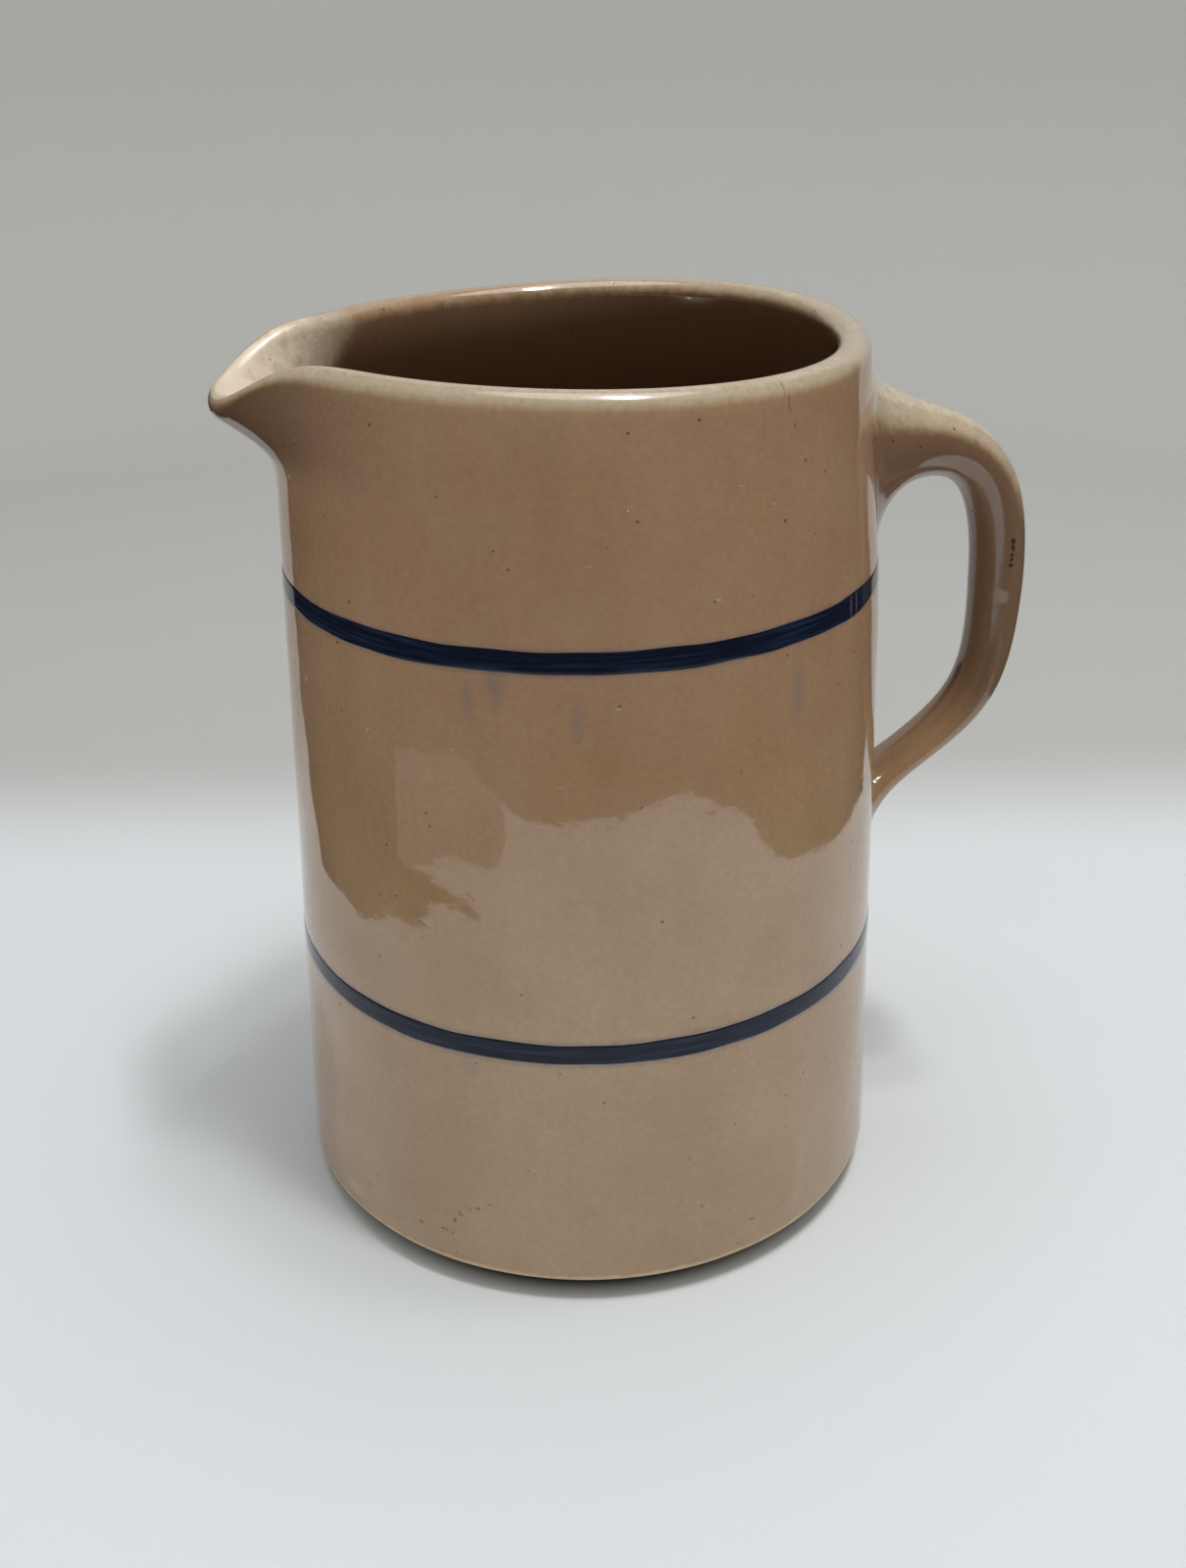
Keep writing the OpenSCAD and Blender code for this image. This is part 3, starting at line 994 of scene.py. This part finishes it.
def plain_paper(name, near, far):
    """Matt paper that fades from white round the pitcher to grey behind it, with a painted contact shadow
    under its edge.
    """
    material, tree = new_tree(name)
    place = add(tree, "ShaderNodeTexCoord", {}, "Object")
    along = add(tree, "ShaderNodeMapping", {"Vector": place, "Rotation": (0, 0, PHOTO_TURN)})
    depth = add(tree, "ShaderNodeSeparateXYZ", {0: along}, "Y")
    fade = add(
        tree,
        "ShaderNodeMapRange",
        {"Value": depth, "From Min": FADE_START, "From Max": FADE_END},
        interpolation_type="SMOOTHSTEP",
    )
    shade = add(tree, "ShaderNodeMix", {"Factor": fade, "A": near, "B": far}, data_type="RGBA")
    reach = add(tree, "ShaderNodeVectorMath", {0: place}, "Value", operation="LENGTH")
    painted_contact_shadow = add(
        tree,
        "ShaderNodeMapRange",
        {"Value": reach, "From Min": SHADE_START, "From Max": SHADE_END, "To Min": SHADE_LEVEL},
    )
    shade = add(
        tree, "ShaderNodeMix", {"Factor": 1.0, "A": shade, "B": painted_contact_shadow}, data_type="RGBA", blend_type="MULTIPLY"
    )
    shader = add(tree, "ShaderNodeBsdfDiffuse", {"Color": shade})
    add(tree, "ShaderNodeOutputMaterial", {"Surface": shader})
    return material


def matt_card(code):
    """Matt card of one grey."""
    material, tree = new_tree("card_" + code[1:])
    shader = add(tree, "ShaderNodeBsdfDiffuse", {"Color": linear(code)})
    add(tree, "ShaderNodeOutputMaterial", {"Surface": shader})
    return material


# Operators

class PITCHER_OT_throw_wall(bpy.types.Operator):
    """Throw the wall and pull the pouring lip out of its rim"""

    bl_idname = "pitcher.throw_wall"
    bl_label = "Throw wall and lip"

    def execute(self, context):
        s = sizes()
        piece = spin_profile(wall_section(s, math.pi))
        pull_lip(piece, s)
        finish_piece("glazed_wall", wall_glaze(), ("body", "spout"))
        return {"FINISHED"}


class PITCHER_OT_pull_handle(bpy.types.Operator):
    """Pull a strap of clay, bend it and press its ends on to the wall"""

    bl_idname = "pitcher.pull_handle"
    bl_label = "Pull handle"

    def execute(self, context):
        s = sizes()
        deselect_all()
        bpy.ops.mesh.primitive_circle_add(vertices=STRAP_SIDES, radius=s.strap_top_w / 2)
        piece = context.object
        bar = piece.modifiers.new("bar", "SCREW")
        bar.angle = 0
        bar.screw_offset = STRAP_RINGS * MM
        bar.steps = STRAP_RINGS
        bar.render_steps = STRAP_RINGS
        bpy.ops.object.modifier_apply(modifier=bar.name)
        bpy.ops.object.mode_set(mode="EDIT")
        bpy.ops.mesh.select_all(action="DESELECT")
        bpy.ops.mesh.select_non_manifold()
        bpy.ops.mesh.edge_face_add()
        bpy.ops.mesh.select_all(action="SELECT")
        bpy.ops.mesh.normals_make_consistent(inside=False)
        bpy.ops.object.mode_set(mode="OBJECT")
        bend_strap(piece, s)
        nodes = ("handle", "upper_luting", "lower_luting")
        finish_piece("strap_handle", handle_glaze(), nodes)
        return {"FINISHED"}


# The slip stands this much above the wall, and its edges dip into the wall
BAND_PROUD = 0.12 * MM
BAND_SUNK = 0.5 * MM
BAND_ROWS = 14
# How far its edges dip, as a share of its height, and how suddenly
BAND_DIP = 1.6
BAND_POWER = 8
# How thin the brush dragged the slip
UPPER_DRAG = 0.6
LOWER_DRAG = 0.5
# Wobble of the brush at the band's edges: spacing and height
WOBBLE_SPACING = 0.012
WOBBLE_HEIGHT = 0.45 * MM


class PITCHER_OT_paint_bands(bpy.types.Operator):
    """Paint the two slip bands round the wall"""

    bl_idname = "pitcher.paint_bands"
    bl_label = "Paint bands"

    def paint(self, s, name, middle, thinness):
        half = s.band_w / 2
        outline = []
        for i in range(BAND_ROWS + 1):
            row = 2 * i / BAND_ROWS - 1
            z = middle + half * row
            outline.append(Vector((outer_r(s, z) + BAND_PROUD * (1 - BAND_DIP * row ** BAND_POWER), z)))
        outline += [
            Vector((outer_r(s, middle + half) - BAND_SUNK, middle + half)),
            Vector((outer_r(s, middle - half) - BAND_SUNK, middle - half)),
            outline[0].copy(),
        ]
        piece = spin_profile(outline)
        for v in piece.data.vertices:
            az = math.atan2(v.co.y, v.co.x)
            z = v.co.z
            edge = Vector((v.co.x, v.co.y, math.copysign(1, z - middle))) / WOBBLE_SPACING
            z += WOBBLE_HEIGHT * noise.noise(edge) * abs(z - middle) / half
            r = math.hypot(v.co.x, v.co.y) + outer_r(s, z) - outer_r(s, v.co.z)
            r += unevenness(s, az, z) + sway(s, az, z)
            v.co = (r * math.cos(az), r * math.sin(az), z)
        piece.data.update()
        finish_piece("painted_" + name, cobalt_slip(name, thinness), (name,))

    def execute(self, context):
        s = sizes()
        self.paint(s, "upper_band", s.upper_band_z, UPPER_DRAG)
        self.paint(s, "lower_band", s.lower_band_z, LOWER_DRAG)
        return {"FINISHED"}


# Camera that looks at the pitcher: distance from its axis, height, pitch down, yaw and roll
CAMERA_DISTANCE = 0.4088
CAMERA_HEIGHT = 0.3031
CAMERA_PITCH = 0.4489
CAMERA_YAW = 0.0054
CAMERA_ROLL = -0.0118
# Its focal length and the width of its sensor in millimetres
CAMERA_LENS = 39.375
CAMERA_SENSOR = 36

# Round paper table whose edge sweeps up into an upright wall of paper
TABLE_R = 0.75
TABLE_SIDES = 96
SWEEP_R = 0.25
SWEEP_STEPS = 12
SWEEP_TOP = 1.3

# Cards that lie round the white table, hidden from the camera: their grey, X and Y of their corners.
# The corners were computed outside this file, from mirrored edges in the photo
DARK_CARD = "#202020"
GREY_CARD = "#9a9690"
CARDS = (
    (DARK_CARD, (
        (-0.720, 0.547), (-0.527, 0.547), (-0.407, 0.377), (-0.319, 0.257), (-0.293, 0.192),
        (-0.262, 0.149), (-0.250, 0.113), (-0.228, 0.084), (-0.243, 0.025), (-0.241, -0.044),
        (-0.240, -0.082), (-0.208, -0.177), (-0.181, -0.204), (-0.157, -0.232), (-0.183, -0.224),
        (-0.242, -0.169), (-0.268, -0.131), (-0.288, -0.114), (-0.334, -0.130), (-0.388, -0.152),
        (-0.720, -0.152),
    )),
    (DARK_CARD, (
        (-0.720, -0.152), (-0.388, -0.152), (-0.326, -0.271), (-0.271, -0.336), (-0.178, -0.352),
        (-0.126, -0.362), (0.006, -0.380), (0.095, -0.366), (0.142, -0.358), (0.199, -0.343),
        (0.235, -0.323), (0.720, -0.323), (0.720, -0.800), (-0.720, -0.800),
    )),
    (DARK_CARD, (
        (0.235, -0.323), (0.261, -0.276), (0.284, -0.230), (0.290, -0.185), (0.285, -0.144),
        (0.281, -0.107), (0.282, -0.078), (0.283, -0.035), (0.279, 0.017), (0.267, 0.072),
        (0.252, 0.110), (0.252, 0.127), (0.231, 0.166), (0.245, 0.186), (0.257, 0.215),
        (0.300, 0.285), (0.376, 0.343), (0.413, 0.356), (0.459, 0.389), (0.578, 0.470),
        (0.720, 0.570), (0.720, -0.323),
    )),
    (GREY_CARD, (
        (-0.288, -0.114), (-0.334, -0.130), (-0.388, -0.152), (-0.326, -0.271), (-0.271, -0.336),
        (-0.182, -0.349), (-0.161, -0.318), (-0.159, -0.297), (-0.237, -0.215), (-0.245, -0.193),
        (-0.268, -0.131),
    )),
)
CARD_Z = 0.4 * MM

# Dark screen that stands round the front, hidden from the camera.
# It runs clockwise, seen from above, from its start
SCREEN_TOP = 1.28
SCREEN_R = 0.72
SCREEN_START = math.radians(44)
SCREEN_ARC = math.radians(288)
SCREEN_STEPS = 60

# Lamps above: name, place, size and power
LAMPS = (
    ("front_ceiling_lamp", (0.36, -0.42, 1.85), 0.16, 2.5),
    ("middle_ceiling_lamp", (0.31, -0.26, 1.85), 0.16, 6.0),
    ("back_ceiling_lamp", (0.25, -0.02, 1.85), 0.16, 3.0),
    ("overhead_softbox", (0.05, 0.05, 1.50), 1.10, 6.0),
)
LAMP_TARGET = Vector((0, 0, 0.1))
ROOM_LIGHT = 0.05
ROOM_COLOUR = (0.9, 0.95, 1, 1)


class PITCHER_OT_set_stage(bpy.types.Operator):
    """Set the pitcher on a pale sweep with soft light overhead and a camera"""

    bl_idname = "pitcher.set_stage"
    bl_label = "Set stage"

    def lay_sweep(self, context):
        c = colours()
        deselect_all()
        bpy.ops.mesh.primitive_circle_add(vertices=TABLE_SIDES, radius=TABLE_R, fill_type="NGON")
        floor = context.object
        floor.name = "paper_sweep"
        bpy.ops.object.mode_set(mode="EDIT")
        bpy.ops.mesh.select_all(action="SELECT")
        bpy.ops.mesh.select_mode(type="EDGE")
        reach, rise = TABLE_R, 0
        for i in range(1, SWEEP_STEPS + 1):
            t = math.pi / 2 * i / SWEEP_STEPS
            there = (TABLE_R + SWEEP_R * math.sin(t), SWEEP_R * (1 - math.cos(t)))
            bpy.ops.mesh.extrude_edges_move(TRANSFORM_OT_translate={"value": (0, 0, there[1] - rise)})
            bpy.ops.transform.resize(value=(there[0] / reach, there[0] / reach, 1))
            reach, rise = there
        bpy.ops.mesh.extrude_edges_move(TRANSFORM_OT_translate={"value": (0, 0, SWEEP_TOP - rise)})
        bpy.ops.object.mode_set(mode="OBJECT")
        bpy.ops.object.shade_smooth_by_angle(angle=math.radians(40))
        floor.data.materials.append(plain_paper("white_paper", c.table, c.backdrop))

    def hide_flag(self, flag, name, card):
        """Leave a card or the screen only in what the glaze mirrors."""
        flag.name = name
        flag.data.materials.append(card)
        flag.visible_camera = False
        flag.visible_diffuse = False
        flag.visible_shadow = False
        flag.visible_transmission = False

    def lay_cards(self, context, turn):
        for i, (code, corners) in enumerate(CARDS):
            deselect_all()
            bpy.ops.mesh.primitive_circle_add(vertices=len(corners), fill_type="NGON")
            flag = context.object
            for v, (x, y) in zip(flag.data.vertices, corners):
                v.co = turn @ Vector((x, y, CARD_Z))
            self.hide_flag(flag, "card_%d" % i, matt_card(code))
        edges = [Vector((SCREEN_R, 0)), Vector((SCREEN_R, SCREEN_TOP))]
        flag = spin_profile(edges, SCREEN_STEPS, SCREEN_ARC)
        flag.data.transform(turn @ Matrix.Rotation(SCREEN_START, 4, "Z"))
        self.hide_flag(flag, "screen", matt_card(DARK_CARD))

    def hang_lamps(self, context, turn):
        for name, place, size, power in LAMPS:
            bpy.ops.object.light_add(type="AREA", location=turn @ Vector(place))
            lamp = context.object
            lamp.name = name
            lamp.data.shape = "DISK"
            lamp.data.size = size
            lamp.data.energy = power
            lamp.rotation_euler = (LAMP_TARGET - lamp.location).to_track_quat("-Z", "Y").to_euler()
        world = bpy.data.worlds.new("dim_room")
        context.scene.world = world
        world.use_nodes = True
        background = world.node_tree.nodes["Background"]
        background.inputs["Color"].default_value = ROOM_COLOUR
        background.inputs["Strength"].default_value = ROOM_LIGHT

    def set_camera(self, context, turn):
        bpy.ops.object.camera_add()
        camera = context.object
        camera.name = "camera"
        camera.data.sensor_width = CAMERA_SENSOR
        camera.data.lens = CAMERA_LENS
        camera.data.clip_start = 0.01
        spot = turn @ Vector((0, -CAMERA_DISTANCE, CAMERA_HEIGHT))
        look = (
            Matrix.Rotation(-PHOTO_TURN - CAMERA_YAW, 4, "Z")
            @ Matrix.Rotation(math.pi / 2 - CAMERA_PITCH, 4, "X")
            @ Matrix.Rotation(CAMERA_ROLL, 4, "Z")
        )
        camera.matrix_world = Matrix.Translation(spot) @ look
        context.scene.camera = camera

    def execute(self, context):
        turn = Matrix.Rotation(-PHOTO_TURN, 4, "Z")
        self.lay_sweep(context)
        self.lay_cards(context, turn)
        self.hang_lamps(context, turn)
        self.set_camera(context, turn)
        context.scene.view_settings.view_transform = "Standard"
        return {"FINISHED"}


class PITCHER_PT_sidebar(bpy.types.Panel):
    """Steps that build the pitcher"""

    bl_idname = "PITCHER_PT_sidebar"
    bl_label = "Pitcher"
    bl_space_type = "VIEW_3D"
    bl_region_type = "UI"
    bl_category = "Pitcher"

    def draw(self, context):
        for step in STEPS:
            self.layout.operator(step.bl_idname)


STEPS = (PITCHER_OT_throw_wall, PITCHER_OT_pull_handle, PITCHER_OT_paint_bands, PITCHER_OT_set_stage)
CLASSES = (PitcherSizes, PitcherColours, *STEPS, PITCHER_PT_sidebar)


def register():
    for kind in CLASSES:
        bpy.utils.register_class(kind)
    bpy.types.Scene.pitcher_sizes = PointerProperty(type=PitcherSizes)
    bpy.types.Scene.pitcher_colours = PointerProperty(type=PitcherColours)


def unregister():
    del bpy.types.Scene.pitcher_colours
    del bpy.types.Scene.pitcher_sizes
    for kind in reversed(CLASSES):
        bpy.utils.unregister_class(kind)


def main():
    register()
    bpy.ops.pitcher.throw_wall()
    bpy.ops.pitcher.pull_handle()
    bpy.ops.pitcher.paint_bands()
    bpy.ops.pitcher.set_stage()


if __name__ == "__main__":
    main()
